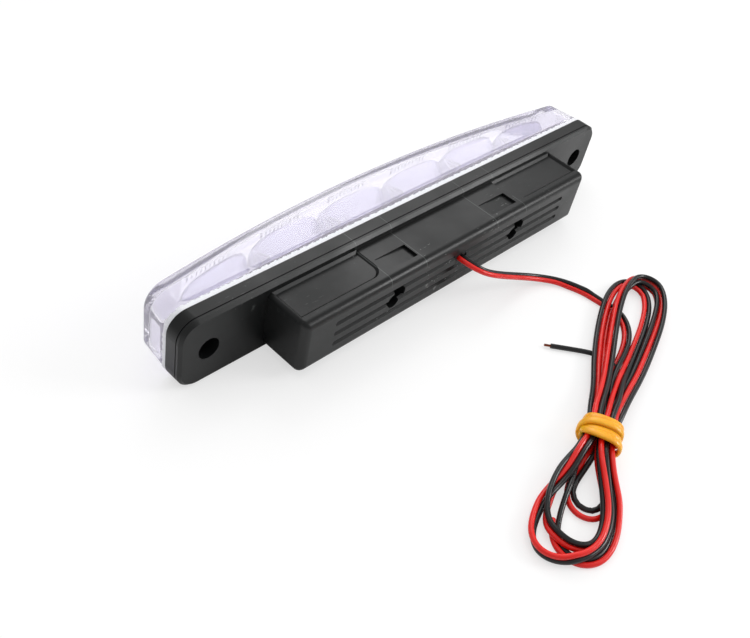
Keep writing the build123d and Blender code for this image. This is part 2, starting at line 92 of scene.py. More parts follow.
def power(value, exponent):
    """The signed power: the sign of the value times its size to the exponent."""
    return np.sign(value) * np.abs(value) ** exponent


def circle(count):
    """The cosines and sines of so many even steps of a full turn, each as a row."""
    angle = np.linspace(0, 2 * math.pi, count, endpoint=False)[None, :]
    return np.cos(angle), np.sin(angle)


def piece_from(name, grids, wraps, material):
    """Join grids of points, of shape rows x columns x 3 in metres, into one closed smooth object.

    Each grid's neighbouring points make quads; wraps says for each grid whether its rows and whether its
    columns close on themselves."""
    points, quads, start = [], [], 0
    for grid, (wrap_rows, wrap_columns) in zip(grids, wraps):
        rows, columns = grid.shape[:2]
        index = start + np.arange(rows * columns).reshape(rows, columns)
        if wrap_rows:
            index = np.vstack([index, index[:1]])
        if wrap_columns:
            index = np.column_stack([index, index[:, :1]])
        corners = (index[:-1, :-1], index[1:, :-1], index[1:, 1:], index[:-1, 1:])
        quads.append(np.stack(corners, axis=-1).reshape(-1, 4))
        points.append(grid.reshape(-1, 3))
        start += rows * columns
    mesh = bpy.data.meshes.new(name)
    mesh.from_pydata(np.concatenate(points).tolist(), [], np.concatenate(quads).tolist())
    work = bmesh.new()
    work.from_mesh(mesh)
    bmesh.ops.remove_doubles(work, verts=work.verts, dist=merge_distance * mm)
    bmesh.ops.dissolve_degenerate(work, edges=work.edges, dist=edge_least * mm)
    bmesh.ops.recalc_face_normals(work, faces=work.faces)
    work.to_mesh(mesh)
    work.free()
    mesh.shade_smooth()
    mesh.materials.append(material)
    item = bpy.data.objects.new(name, mesh)
    scene.collection.objects.link(item)
    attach(item, "root")
    print(name, len(mesh.polygons), "faces")
    return item


# %% [markdown]
# ## Building materials
# A finish is a small tree of nodes. One function adds a node with its settings and its inputs, where an
# input is a plain value or another node. Colours are written as sRGB hex, as a maker would read them off
# a sample, and turned to the linear values that the shader works in. The scale of a noise is the number
# of its features in a metre, so 140 makes them about 7 mm long and 900 about 1 mm.


# %% Colour and node helpers
def linear(code, alpha=1.0):
    """sRGB hex to linear: a channel c becomes ((c + 0.055) / 1.055) to the 2.4, or c / 12.92 when dark."""
    channels = np.array([int(code[n : n + 2], 16) / 255 for n in (1, 3, 5)])
    values = np.where(channels <= 0.04045, channels / 12.92, ((channels + 0.055) / 1.055) ** 2.4)
    return (*values.tolist(), alpha)


def add(tree, kind, inputs=(), **settings):
    """Add one shader node with its settings. Each input takes a plain value, another node's output, or a
    node, which stands for its first output in use."""
    node = tree.nodes.new("ShaderNode" + kind)
    for key, value in settings.items():
        setattr(node, key, value)
    for key, value in dict(inputs).items():
        if isinstance(value, bpy.types.Node):
            value = next(socket for socket in value.outputs if socket.enabled)
        if isinstance(value, bpy.types.NodeSocket):
            tree.links.new(value, node.inputs[key])
        else:
            node.inputs[key].default_value = value
    return node


def new_tree(name):
    """A material of this name, and its emptied node tree."""
    material = bpy.data.materials.new(name)
    material.use_nodes = True
    material.node_tree.nodes.clear()
    return material, material.node_tree


# %% [markdown]
# ## Soft vinyl insulation
# The wires are sheathed in plasticised PVC, extruded round the copper. It is smooth and a little oily, so
# it has a clear highlight along each wire that breaks up slightly where the sheath is uneven. A noise a
# few millimetres long moves the roughness, and a finer one bumps the surface.


# %% Vinyl
def soft_vinyl(name, light, dark, roughness):
    """Extruded PVC: base colour between two shades by a slow noise, IOR 1.53, faintly uneven gloss."""
    material, tree = new_tree(name)
    place = add(tree, "TexCoord").outputs["Object"]
    slow = add(tree, "TexNoise", {"Vector": place, "Scale": 140.0, "Detail": 2.0})
    fine = add(tree, "TexNoise", {"Vector": place, "Scale": 900.0, "Detail": 3.0})
    shade = add(tree, "Mix", {"Factor": slow, "A": linear(dark), "B": linear(light)}, data_type="RGBA")
    gloss = add(tree, "MapRange", {
        "Value": slow,
        "From Min": 0.3,
        "From Max": 0.7,
        "To Min": roughness - 0.06,
        "To Max": roughness + 0.06,
    })
    bump = add(tree, "Bump", {"Height": fine, "Strength": 0.12, "Distance": 0.05 * mm})
    skin = add(tree, "BsdfPrincipled", {"Base Color": shade, "Roughness": gloss, "IOR": 1.53, "Normal": bump})
    add(tree, "OutputMaterial", {"Surface": skin})
    return material


red_vinyl = soft_vinyl("red_vinyl_insulation", "#F01A10", "#D01009", 0.3)
black_vinyl = soft_vinyl("black_vinyl_insulation", "#1E1F20", "#141516", 0.3)

# %% [markdown]
# ## The twin lead
# The two wires leave the seal side by side, drop to the table, run to the hank and are folded into seven
# loops there. Both follow one route. Its points up to the hank are listed, and the loops of the
# hank are worked out, because each is the same shape in another size: a long loop on one side of the
# band, pinched at the waist.

# %% Route of the lead and the loose end
wire_diameter = 1.4
wire_pitch = 1.45
lead_route = [
    (0.0, 18.05, 12.9), (0.0, 22.6, 12.9), (-3.0, 25.8, 11.0),
    (-9.4, 27.3, 8.0), (-17.6, 28.4, 4.4), (-25.0, 30.7, 1.9),
    (-30.8, 35.4, 1.0), (-33.5, 43.0, 0.9), (-34.5, 51.0, 1.0),
]
tail_route = [(-14.6, 63.2, 1.0), (-13.9, 60.0, 0.9), (-10.2, 55.4, 0.8), (-5.9, 50.6, 0.8)]
hank_centre = np.array([11.5, 80.2])
hank_turn = math.radians(23.8)
hank_axis = np.array([math.cos(hank_turn), math.sin(hank_turn)])
hank_side = np.array([-hank_axis[1], hank_axis[0]])


def hank_points(station, across, height):
    """Points from the hank's own measures: along its axis, across it and up, in millimetres."""
    flat = hank_centre + np.outer(station, hank_axis) + np.outer(across, hank_side)
    return np.column_stack([flat, height])


# %% [markdown]
# ### One loop of the hank
# A loop runs from the waist out to its reach and back. With an angle that goes from 0 to a full turn, the
# way out is the reach times half of one minus its cosine. The half width follows the way out to a power,
# and closes at the tip as the root of one minus a high power, which is blunt, as a folded wire is. The
# middle of the loop leans by two shifts, one at its belly and one at its tip, because no two turns of a
# hand-folded hank lie alike. The near ends start from the place that the turn has in the waist.


# %% Loop
waist_half = 2.5
waist_shift = -1.4
loop_start = 8.0
widening_power = 0.7
fade_reach, fade_power = 0.35, 1.5
waist_pull = 0.7
height_marks = [0.0, 0.3, 0.5, 0.7, 1.0]
roll_marks = [0.1, 0.5, 0.9]


def loop(reach, half_width, belly, tip, blunt, heights, enter, leave, count):
    """Way out o = (1 - cos a) / 2, half width = w o^p sqrt(1 - o^m), middle = 4 b o (1 - o) + t o^4.

    It leaves the waist on the left at the enter slot, rounds its tip and comes back on the right at the
    leave slot. A slot is a place across the waist and a height. Heights are those of the way out, the tip
    and the way back. The last column is the share of the turn, from 0 to 1."""
    start_angle = math.acos(1 - 2 * loop_start / reach)
    angle = np.linspace(start_angle, 2 * math.pi - start_angle, count)
    out = (1 - np.cos(angle)) / 2
    profile = out**widening_power * np.sqrt(1 - out**blunt + 1e-9)
    widest = (widening_power / (widening_power + blunt / 2)) ** (1 / blunt)
    profile /= widest**widening_power * math.sqrt(1 - widest**blunt)
    outgoing = angle < math.pi
    across = np.where(outgoing, -1, 1) * half_width * profile + 4 * belly * out * (1 - out) + tip * out**4
    share = (angle - angle[0]) / (angle[-1] - angle[0])
    level = np.interp(share, height_marks, [heights[0], *heights, heights[2]])
    fade = np.clip(1 - (out - out[0]) / fade_reach, 0, 1) ** fade_power
    across = across * (1 - waist_pull * fade) + np.where(outgoing, enter[0], leave[0]) * fade
    level = level * (1 - fade) + np.where(outgoing, enter[1], leave[1]) * fade
    return np.column_stack([reach * out, across, level, share])


# %% [markdown]
# ### The loops in order
# Each row is one loop: its end of the hank, its reach and half width, the two shifts of its middle, its
# heights on the way out, at the tip and on the way back, and the roll of the pair there. The roll says
# which wire is on the outer side: 0 has the black one outside, 180 the red one, and 90 has the red one on
# top. The wires turn over each other a few times, as loose wires do, so the colours change places.

# %% Loop table
upper, lower = -1, 1
low_row, middle_row, top_row = 2.3, 3.75, 5.2
slots = [
    (1.3, low_row), (-1.5, low_row), (-1.4, middle_row), (-4.2, middle_row),
    (-0.6, top_row), (-3.5, top_row), (1.3, middle_row), (-4.3, low_row),
]
loops = [
    (lower, 24.6, 4.7, -0.2, 0.3, (0.85, 0.85, 0.85), (-180, -180, -180)),
    (upper, 70.3, 6.2, -0.6, 0.6, (1.5, 1.5, 1.5), (-140, -90, -90)),
    (lower, 35.6, 7.0, -2.2, -1.3, (2.4, 2.4, 2.4), (-90, -110, -60)),
    (upper, 68.4, 6.2, -2.9, -2.6, (2.3, 1.6, 1.6), (-20, 0, 0)),
    (lower, 39.7, 8.0, -1.6, -4.4, (3.4, 2.4, 2.4), (20, 95, 180)),
    (upper, 71.6, 6.4, 0.5, 1.0, (3.8, 3.0, 3.0), (180, 270, 360)),
    (lower, 37.8, 6.9, 1.0, 0.4, (1.5, 0.85, 0.85), (480, 540, 540)),
]
loop_points = {upper: 15, lower: 12}
bluntness = {upper: 7, lower: 5}
inner_run = [
    (-51.5, -3.6, 1.2), (-45.0, -0.7, 1.2), (-36.5, -0.4, 1.2),
    (-27.0, -1.9, 1.4), (-17.5, -2.0, 1.7), (-9.5, -0.3, 2.1),
]
inner_roll = -60
loose_run = [(-9.0, -2.0, 2.0), (-16.0, 0.4, 0.8), (-23.5, 1.4, 0.75), (-28.8, -0.2, 0.75)]


def whole_route():
    """The centreline of the pair in millimetres, and at each point the roll in degrees.

    A loop of the lower end is worked out from its way back to its way out, and then turned round."""
    rows = [np.array(lead_route), hank_points(*np.array(inner_run).T)]
    rolls = [np.zeros(len(lead_route) - 2), np.full(len(inner_run) + 2, inner_roll)]
    for number, (end, reach, half_width, belly, tip, heights, roll) in enumerate(loops):
        enter, leave = slots[number], slots[number + 1]
        way = 1 if end == upper else -1
        ends = (heights[::way], *(enter, leave)[::way])
        shape = loop(reach, half_width, belly, tip, bluntness[end], *ends, loop_points[end])[::way]
        share = shape[:, 3] if end == upper else 1 - shape[:, 3]
        rows.append(hank_points([-end * waist_half, end * waist_half], [enter[0]] * 2, [enter[1]] * 2))
        rolls.append(np.full(2, roll[0]))
        rows.append(hank_points(end * shape[:, 0], shape[:, 1], shape[:, 2]))
        rolls.append(np.interp(share, roll_marks, roll))
    last, last_roll = slots[-1], loops[-1][6][2]
    rows.append(hank_points([waist_half, -waist_half], [last[0]] * 2, [last[1]] * 2))
    rows.append(hank_points(*np.array(loose_run).T))
    rows.append(np.array(tail_route))
    rolls.append(np.full(2 + len(loose_run) + len(tail_route), last_roll))
    return np.concatenate(rows), np.concatenate(rolls)


route, rolls = whole_route()
print("route points:", len(route))


# %% [markdown]
# ### From route to wires
# A NURBS spline through the frame of these points gives the smooth line. Its points are read back as a
# mesh, and each wire is that line moved sideways by half the pitch, in the direction of the roll.


# %% Read a spline
def smooth(points):
    """Points along a NURBS spline of order 3 whose control points are these rows of three numbers."""
    curve = bpy.data.curves.new("route", "CURVE")
    curve.dimensions = "3D"
    curve.resolution_u = 8
    spline = curve.splines.new("NURBS")
    spline.points.add(len(points) - 1)
    spline.points.foreach_set("co", np.column_stack([points, np.ones(len(points))]).ravel())
    spline.order_u = 3
    spline.use_endpoint_u = True
    holder = bpy.data.objects.new("route", curve)
    mesh = bpy.data.meshes.new_from_object(holder)
    read = np.empty(len(mesh.vertices) * 3)
    mesh.vertices.foreach_get("co", read)
    bpy.data.meshes.remove(mesh)
    bpy.data.objects.remove(holder)
    bpy.data.curves.remove(curve)
    return read.reshape(-1, 3)


def length_of(line):
    """The length of a line of points."""
    return float(np.linalg.norm(np.diff(line, axis=0), axis=1).sum())


def directions(line):
    """Unit tangents of a line, and the level direction to its right."""
    tangent = np.gradient(line, axis=0)
    tangent /= np.linalg.norm(tangent, axis=1, keepdims=True)
    right = np.column_stack([tangent[:, 1], -tangent[:, 0], np.zeros(len(line))])
    right /= np.linalg.norm(right, axis=1, keepdims=True)
    return tangent, right


# %% Wires
tube_sides = 14


def tube(line, radius):
    """Rings about a line: centre + radius (cos a right + sin a up), with a small round at each cut end."""
    tangent, right = directions(line)
    up = np.cross(right, tangent)
    cosine, sine = (values[..., None] for values in circle(tube_sides))
    ends = np.array([0.0, 0.85, 1.0])
    sizes = np.concatenate([ends, np.ones(len(line) - 2), ends[::-1]])[:, None, None] * radius
    back = np.array([0.0, 0.0, 0.1])
    steps = np.concatenate([back, np.zeros(len(line) - 2), -back[::-1]])[:, None, None] * radius
    rows = np.concatenate([[0, 0, 0], np.arange(1, len(line) - 1), [-1, -1, -1]])
    line, tangent, right, up = (values[rows][:, None, :] for values in (line, tangent, right, up))
    return line + steps * tangent + sizes * (cosine * right + sine * up)


def eased(rows, passes):
    """The rows smoothed: each pass turns an inner row r into r / 2 plus a quarter of each neighbour."""
    rows = rows.copy()
    for turn in range(passes):
        rows[1:-1] = 0.5 * rows[1:-1] + 0.25 * (rows[:-2] + rows[2:])
    return rows


def evenly(line, step):
    """The line read again at points an even step apart along it."""
    along = np.concatenate([[0.0], np.cumsum(np.linalg.norm(np.diff(line, axis=0), axis=1))])
    marks = np.linspace(0.0, along[-1], int(along[-1] / step) + 1)
    return np.column_stack([np.interp(marks, along, line[:, axis]) for axis in range(line.shape[1])])


line_step, roll_passes = 0.8, 60
centre_line = smooth(route)
roll_line = smooth(np.column_stack([rolls, rolls * 0, rolls * 0]))[:, :1]
track = evenly(np.column_stack([centre_line, roll_line]), line_step)
centre_line, roll_line = track[:, :3], np.radians(eased(track[:, 3:], roll_passes)[:, 0])
tangent, right = directions(centre_line)
up = np.cross(right, tangent)
towards_red = np.cos(roll_line)[:, None] * right + np.sin(roll_line)[:, None] * up
to_go = length_of(centre_line) * (1 - np.linspace(0, 1, len(centre_line)))
red_end, parting = 46.0, 8.0
together = np.clip((to_go - red_end + parting) / parting, 0, 1)[:, None]
half_pitch = wire_pitch / 2
black_line = centre_line - half_pitch * together * towards_red
red_line = (centre_line + half_pitch * towards_red)[to_go > red_end]
print("pair length", round(length_of(centre_line), 1))

# %% [markdown]
# ### Room for each other
# The wires are drawn as if they could pass through each other. They can't, so they are pushed apart where
# they come nearer than a diameter, over and over, while they settle a little under their weight and keep
# smooth. The stretch that hangs from the seal and the loose end are held as they are. At last, a bend
# that came out too tight for the wire is opened, by moving its points towards the mean of their neighbours.


# %% Contact
floor_height = wire_diameter / 2 + 0.02
own_reach, look_reach = 6, 1.0
tied_half, tied_slope, end_slope_length = 5.0, 9.0, 10.0
look_again = 10
sag = 0.012
move_passes, last_passes = 8, 3
held_lead, held_tail = 45.0, 12.0
least_bend, bend_reach, bend_rounds = 3.2, 2, 60


def settle(lines, held, clearance, rounds, most):
    """Push points of all lines apart to the clearance, lower them a little and smooth the moves, over and
    over. A line's own points count as near when they are few steps apart, and then they don't push."""
    line_of = np.concatenate([np.full(len(line), n) for n, line in enumerate(lines)])
    order = np.concatenate([np.arange(len(line)) for line in lines])
    start = np.concatenate(lines)
    free = np.concatenate(held)[:, None]
    place = start.copy()
    for turn in range(rounds):
        if turn % look_again == 0:
            spread = np.sqrt(((place[:, None, :] - place[None, :, :]) ** 2).sum(axis=2))
            near = np.abs(order[:, None] - order[None, :]) < own_reach
            same = near & (line_of[:, None] == line_of[None, :])
            first, second = np.nonzero((spread < clearance + look_reach) & ~same)
        gap = place[first] - place[second]
        distance = np.linalg.norm(gap, axis=1) + 1e-9
        short = np.maximum(clearance - distance, 0)
        push = gap / distance[:, None] * short[:, None]
        hits = np.maximum(np.bincount(first, short > 0, len(place)), 1)
        shift = np.column_stack([np.bincount(first, push[:, axis], len(place)) / hits for axis in range(3)])
        shift[:, 2] -= sag
        move = (place + shift - start) * free
        for n in range(len(lines)):
            rows = line_of == n
            move[rows] = eased(move[rows], move_passes)
        place = start + np.clip(move, -most, most)
        place[:, 2] = np.maximum(place[:, 2], floor_height)
    print("closest:", round(float(distance.min()), 2), "mm")
    print("moved up to", round(float(np.abs(place - start).max()), 2), "mm")
    return [eased(place[line_of == n], last_passes) for n in range(len(lines))]


def open_bends(line):
    """Where the circle through a point and its neighbours is under the least bend, it moves to their mean.

    The radius of that circle is the product of the three sides over four times the area."""
    line = line.copy()
    reach = bend_reach
    window = np.ones(2 * reach + 1) / (2 * reach + 1)
    for turn in range(bend_rounds):
        before, here, after = line[: -2 * reach], line[reach:-reach], line[2 * reach :]
        sides = [np.linalg.norm(v, axis=1) for v in (here - before, after - here, after - before)]
        area = np.linalg.norm(np.cross(here - before, after - here), axis=1) / 2
        radius = sides[0] * sides[1] * sides[2] / np.maximum(4 * area, 1e-9)
        tight = np.convolve((radius < least_bend).astype(float), window, "same")
        if not tight.any():
            break
        line[reach:-reach] += 0.25 * tight[:, None] * ((before + after) / 2 - here)
    print("bends opened in", turn + 1, "rounds")
    return line


def freedom(line, near_end, far_end):
    """0 near both ends of a line and under the band, and 1 between, with a slope over some millimetres."""
    along = np.linspace(0, length_of(line), len(line))
    station = np.abs((line[:, :2] - hank_centre) @ hank_axis)
    start = np.clip((along - near_end) / end_slope_length, 0, 1)
    finish = np.clip((along[-1] - along - far_end) / end_slope_length, 0, 1)
    return start * finish * np.clip((station - tied_half) / tied_slope, 0, 1)


red_line, black_line = settle(
    [red_line, black_line],
    [freedom(red_line, held_lead, 0), freedom(black_line, held_lead, held_tail)],
    clearance=1.43, rounds=70, most=1.8,
)
red_line, black_line = (open_bends(line) for line in (red_line, black_line))

# %% Both wires
for name, line, material, slot in (
    ("wire_red", red_line, red_vinyl, "red_insulation"),
    ("wire_black", black_line, black_vinyl, "black_insulation"),
):
    grid = tube(line * mm, wire_diameter / 2 * mm)
    piece_from(name, [grid], [(False, True)], material)
    print(name, "length", round(length_of(line), 1), "mm, lowest", round(float(line[:, 2].min()), 2))

# %% [markdown]
# ## The rubber band
# A natural rubber band is wound round the waist, four and a half times, and its last turn slants across.
# It is a rounded strip carried round the bundle on a flattened oval. Rubber lets some light in, so it
# glows amber at its edges: subsurface scattering gives that, with a satin skin.


# %% Rubber
def natural_rubber():
    """Cut natural rubber: amber with subsurface scattering of a millimetre, satin, with a fine grain."""
    material, tree = new_tree("natural_rubber")
    place = add(tree, "TexCoord").outputs["Object"]
    cloud = add(tree, "TexNoise", {"Vector": place, "Scale": 260.0, "Detail": 3.0})
    tones = {"Factor": cloud, "A": linear("#E8960C"), "B": linear("#FFBE24")}
    shade = add(tree, "Mix", tones, data_type="RGBA")
    grain = add(tree, "TexNoise", {"Vector": place, "Scale": 1500.0, "Detail": 2.0})
    bump = add(tree, "Bump", {"Height": grain, "Strength": 0.2, "Distance": 0.05 * mm})
    skin = add(tree, "BsdfPrincipled", {
        "Base Color": shade,
        "Roughness": 0.32,
        "IOR": 1.52,
        "Subsurface Weight": 0.35,
        "Subsurface Radius": (1.0, 0.45, 0.12),
        "Subsurface Scale": 1.0 * mm,
        "Normal": bump,
    })
    add(tree, "OutputMaterial", {"Surface": skin})
    return material


amber_rubber = natural_rubber()


# %% Wound strip
oval_power, strip_edge_power = 0.8, 0.6
turn_steps, strip_sides = 64, 16


def wound_strip(stations, layers, half_width, half_height, middle, strip_width, strip_thickness):
    """A rounded strip on a flattened oval: across = a cos^0.8, up = b sin^0.8, with the given stations.

    Stations along the hank and layers outward are given at quarter turns, and a spline joins them."""
    turns = (len(stations) - 1) / 4
    angle = np.linspace(0, 2 * math.pi * turns, int(turn_steps * turns))
    quarter = angle / (math.pi / 2)
    station = smooth(np.column_stack([stations, layers, np.zeros(len(stations))]))
    grid = np.linspace(0, len(stations) - 1, len(station))
    along = np.interp(quarter, grid, station[:, 0])
    layer = np.interp(quarter, grid, station[:, 1])
    cosine, sine = np.cos(angle), np.sin(angle)
    outward = np.column_stack([cosine / half_width, sine / half_height])
    outward /= np.linalg.norm(outward, axis=1, keepdims=True)
    across = waist_shift + half_width * power(cosine, oval_power) + layer * outward[:, 0]
    height = middle + half_height * power(sine, oval_power) + layer * outward[:, 1]
    flat_way, thick_way = circle(strip_sides)
    wide = strip_width / 2 * power(flat_way, strip_edge_power)
    thick = strip_thickness / 2 * power(thick_way, oval_power)
    end = np.ones((len(angle), 1))
    end[[0, -1]] = 0.0
    end[[1, -2]] = 0.8
    rings = [
        along[:, None] + wide * end,
        across[:, None] + outward[:, :1] * thick * end,
        height[:, None] + outward[:, 1:] * thick * end,
    ]
    return hank_points(*(ring.ravel() for ring in rings)).reshape(len(angle), strip_sides, 3) * mm


band = wound_strip(
    [-2.6, -2.6, -2.4, -2.2, -0.9, -0.5, -0.3, -0.1, 1.4, 1.7, 1.8, 1.4, -1.0, -0.4, 1.4, 3.2, 3.6, 3.4, 1.6],
    [0.0] * 12 + [0.3, 0.9, 0.9, 0.8, 0.5, 0.3, 0.2],
    half_width=4.75,
    half_height=2.55,
    middle=3.95,
    strip_width=2.2,
    strip_thickness=1.1,
)
rubber = piece_from("rubber_winding", [band], [(False, True)], amber_rubber)
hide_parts("rubber_band")

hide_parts("lead_red", "cord_hank")
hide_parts("lead_black", "tail_black", "cord_hank")

# %% [markdown]
# ## The clear cover
# The cover is one thick moulding of polycarbonate: a flat long shell with round corners, sloping ends and a
# front that bows outward. Its front wall carries small standing flutes inside, ten before each cup, which
# spread the light. Glass shows every facet, so the cover is worked out as fine grids: a front grid whose
# columns are as tall as the rounded outline allows, and a ring grid that follows the same outline round
# its edge and back to the foot. The hollow is made in the same way, and the two meet in the foot.

# %% Sizes of the cover, from the frame
cover_low, cover_high = (np.array(corner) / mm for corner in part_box("lens_cover"))
cover_half = cover_high[0]
cover_middle = (cover_low[2] + cover_high[2]) / 2
cover_half_height = (cover_high[2] - cover_low[2]) / 2
foot_y, front_y = cover_high[1], cover_low[1]
corner_radius = 5.5
cover_wall, cover_front_wall = 2.0, 2.4
end_slope = 1.8
bow_radius = 526.7
flute_pitch, flute_radius, flute_height = 1.5, 1.0, 0.35
flute_reach = 0.3
cup_pitch, cup_count, flutes_per_cup = 25.5, 6, 10
edge_radius, inner_edge = 0.8, 0.3
column_step, column_flat = 0.25, 0.94
shell_rows, edge_rings, corner_columns = 33, 5, 14
print("cover in mm:", cover_low.round(2), cover_high.round(2))


def bow(x, share=1.0):
    """Front of the cover over x: y = centre - sqrt(R^2 - x^2), the same at each share of the height."""
    return front_y + bow_radius - np.sqrt(bow_radius**2 - x**2)


def fluted(x, share=1.0):
    """Inner side of the front wall: the bow moved in by the wall, less rounds that fade out at its edges."""
    from_cup = (x + cup_pitch * cup_count / 2) % cup_pitch - cup_pitch / 2
    offset = (from_cup / flute_pitch) % 1.0 * flute_pitch - flute_pitch / 2
    rise = np.sqrt(np.maximum(flute_radius**2 - offset**2, 0)) - (flute_radius - flute_height)
    inside = (np.abs(from_cup) < flutes_per_cup * flute_pitch / 2) & (np.abs(x) < cup_pitch * cup_count / 2)
    fade = np.clip((np.abs(share) - 1 + flute_reach) / (0.5 * flute_reach), 0, 1)
    return bow(x) + cover_front_wall + fade * np.where(inside, np.maximum(rise, 0), 0)


# %% Shell grids
def outline(half_length, half_height, radius, columns, rows):
    """The rounded outline as a loop: columns of x with half height h(x), an end column of rows, and back.

    h = H where |x| < L - r, and H - r + sqrt(r^2 - (|x| - L + r)^2) in the corners. It also gives the
    outward direction in the plane of x and z at each point of the loop."""
    flat = half_length - radius
    marks = [-1.0, -column_flat, column_flat, 1.0]
    x = np.interp(columns, marks, [-half_length, -flat, flat, half_length])
    into = np.maximum(np.abs(x) - flat, 0)
    height = half_height - radius + np.sqrt(np.maximum(radius**2 - into**2, 0))
    level = np.linspace(-1, 1, rows)[1:-1]
    end = half_height - radius
    loop_x = np.concatenate([x, np.full(rows - 2, x[-1]), x[::-1], np.full(rows - 2, x[0])])
    loop_z = np.concatenate([-height, end * level, height[::-1], -end * level])
    out_x = np.where(np.abs(loop_x) > flat, loop_x - np.sign(loop_x) * flat, 0)
    out_z = np.where(np.abs(loop_z) > end - 1e-6, loop_z - np.sign(loop_z) * end, 0)
    size = np.maximum(np.hypot(out_x, out_z), 1e-9)
    return x, height, loop_x, loop_z, out_x / size, out_z / size


def shell(inward, edge, face):
    """Front grid (x, face(x), h(x) w) and ring grid: round edge, then straight back to the foot.

    Its outline lies inward of that of the cover, which widens to its foot by the slope of its ends."""
    half_length = cover_half - inward - end_slope
    half_height, radius = cover_half_height - inward, corner_radius - inward
    x, height, loop_x, loop_z, out_x, out_z = outline(
        half_length - edge, half_height - edge, radius - edge, columns, shell_rows
    )
    share = np.linspace(-1, 1, shell_rows)[:, None]
    face_y = face(x[None, :], share)
    front = np.stack(np.broadcast_arrays(x[None, :], face_y, cover_middle + share * height), axis=-1)
    turn = np.linspace(0, math.pi / 2, edge_rings)[:, None]
    edge_y = face(loop_x) + edge * (1 - np.cos(turn))
    edge_out = edge * np.sin(turn)
    back = np.linspace(0, 1, edge_rings)[1:, None]
    y = np.vstack([edge_y, edge_y[-1] + back * (foot_y - edge_y[-1])])
    out = np.vstack([edge_out, np.full((edge_rings - 1, 1), edge)])
    slope = end_slope * (y - front_y) / (foot_y - front_y) / half_length
    ring_x = (loop_x + out * out_x) * (1 + slope)
    ring_z = np.broadcast_to(cover_middle + loop_z + out * out_z, ring_x.shape)
    front[..., 0] *= 1 + end_slope * (front[..., 1] - front_y) / (foot_y - front_y) / half_length
    return front, np.stack([ring_x, y, ring_z], axis=-1)


corner_part = (1 - column_flat) * np.sin(np.linspace(0, math.pi / 2, corner_columns)[1:])
flat_part = np.linspace(-column_flat, column_flat, int(2 * cover_half / column_step))
columns = np.concatenate([-column_flat - corner_part[::-1], flat_part, column_flat + corner_part])
outer = shell(0, edge_radius, bow)
inner = shell(cover_wall, inner_edge, fluted)
foot = np.stack([outer[1][-1], inner[1][-1]])
print("grids:", [grid.shape for grid in (*outer, *inner, foot)])


# %% Clear polycarbonate
def clear_polycarbonate(name, tint, roughness, waviness, clearness):
    """Moulded clear polycarbonate: IOR 1.585, a faint cool tint, and flow waves some millimetres long.

    Light for the parts behind it passes straight through, which stands for the bent paths."""
    material, tree = new_tree(name)
    place = add(tree, "TexCoord").outputs["Object"]
    waves = add(tree, "TexNoise", {"Vector": place, "Scale": 160.0, "Detail": 2.0})
    bump = add(tree, "Bump", {"Height": waves, "Strength": waviness, "Distance": 0.2 * mm})
    body = add(tree, "BsdfPrincipled", {
        "Base Color": linear(tint),
        "Roughness": roughness,
        "IOR": 1.585,
        "Transmission Weight": clearness,
        "Normal": bump,
    })
    rays = add(tree, "LightPath").outputs
    lit = add(tree, "Math", {0: rays["Is Shadow Ray"], 1: rays["Is Diffuse Ray"]}, operation="MAXIMUM")
    through = add(tree, "BsdfTransparent", {"Color": linear(tint)})
    blend = add(tree, "MixShader", {0: lit, 1: body, 2: through})
    add(tree, "OutputMaterial", {"Surface": blend})
    return material


cover_clear = clear_polycarbonate("clear_polycarbonate_cover", "#F7F5FC", 0.03, 0.06, 0.87)
cup_clear = clear_polycarbonate("clear_polycarbonate_cups", "#D6D3E6", 0.06, 0.25, 0.82)
base_clear = clear_polycarbonate("clear_polycarbonate_base", "#FAF9FE", 0.08, 0.25, 0.8)
cover = piece_from(
    "clear_front_cover",
    [grid * mm for grid in (*outer, *inner, foot)],
    [(False, False), (False, True), (False, False), (False, True), (False, True)],
    cover_clear,
)
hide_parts("lens_cover")


# %% [markdown]
# ## The cups
# Behind the flutes lie six clear cups, each a bowl that opens to the front with a diode at its floor. From
# above, a bowl looks like the hull of a boat: a bright rim, a keel towards the housing and a darker side.
# A bowl is a grid of two parameters, the turn round its axis and the way from its floor to its rim. The
# section is a rounded rectangle, written as a superellipse, and the depth goes with the square of the way.

# %% Bowl grids
strip_low, strip_high = (np.array(corner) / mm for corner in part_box("optic_strip"))
strip_rear = strip_high[1]
base_thickness = 2.3
cup_depth, cup_floor_half = 11.8, 4.5
cup_wall, cusp_width = 1.2, 0.6
cup_half_width = (cup_pitch - cusp_width) / 2
cup_half_height = (strip_high[2] - strip_low[2]) / 2
cup_floor = strip_rear - base_thickness - 0.02
cup_apex = strip_rear - base_thickness + cup_depth * (cup_floor_half / cup_half_width) ** 2
front_clearance = cover_front_wall + flute_height + 0.5
squareness = 0.62
wall_above, wall_at_cusp, wall_at_floor = 0.6, 0.25, 0.3
bowl_turns, bowl_ways, first_way = 72, 26, 0.02
cup_centres = cup_pitch * (np.arange(cup_count) - (cup_count - 1) / 2)


def bowl(centre, half_width, half_height, apex, floor):
    """x = c + w t |cos a|^e, z = m + h t |sin a|^e, y = apex - depth t^2, with t up to the clearance."""
    wide, tall = (power(values, squareness) for values in circle(bowl_turns))
    most = np.ones_like(wide)
    for turn in range(4):
        limit = bow(centre + half_width * wide * most) + front_clearance
        most = np.minimum(1.0, np.sqrt((apex - limit) / cup_depth))
    way = np.linspace(first_way, 1, bowl_ways)[:, None] * most
    grid = np.broadcast_arrays(
        centre + half_width * way * wide,
        np.minimum(apex - cup_depth * way**2, floor),
        cover_middle + half_height * way * tall,
    )
    return np.stack(grid, axis=-1)


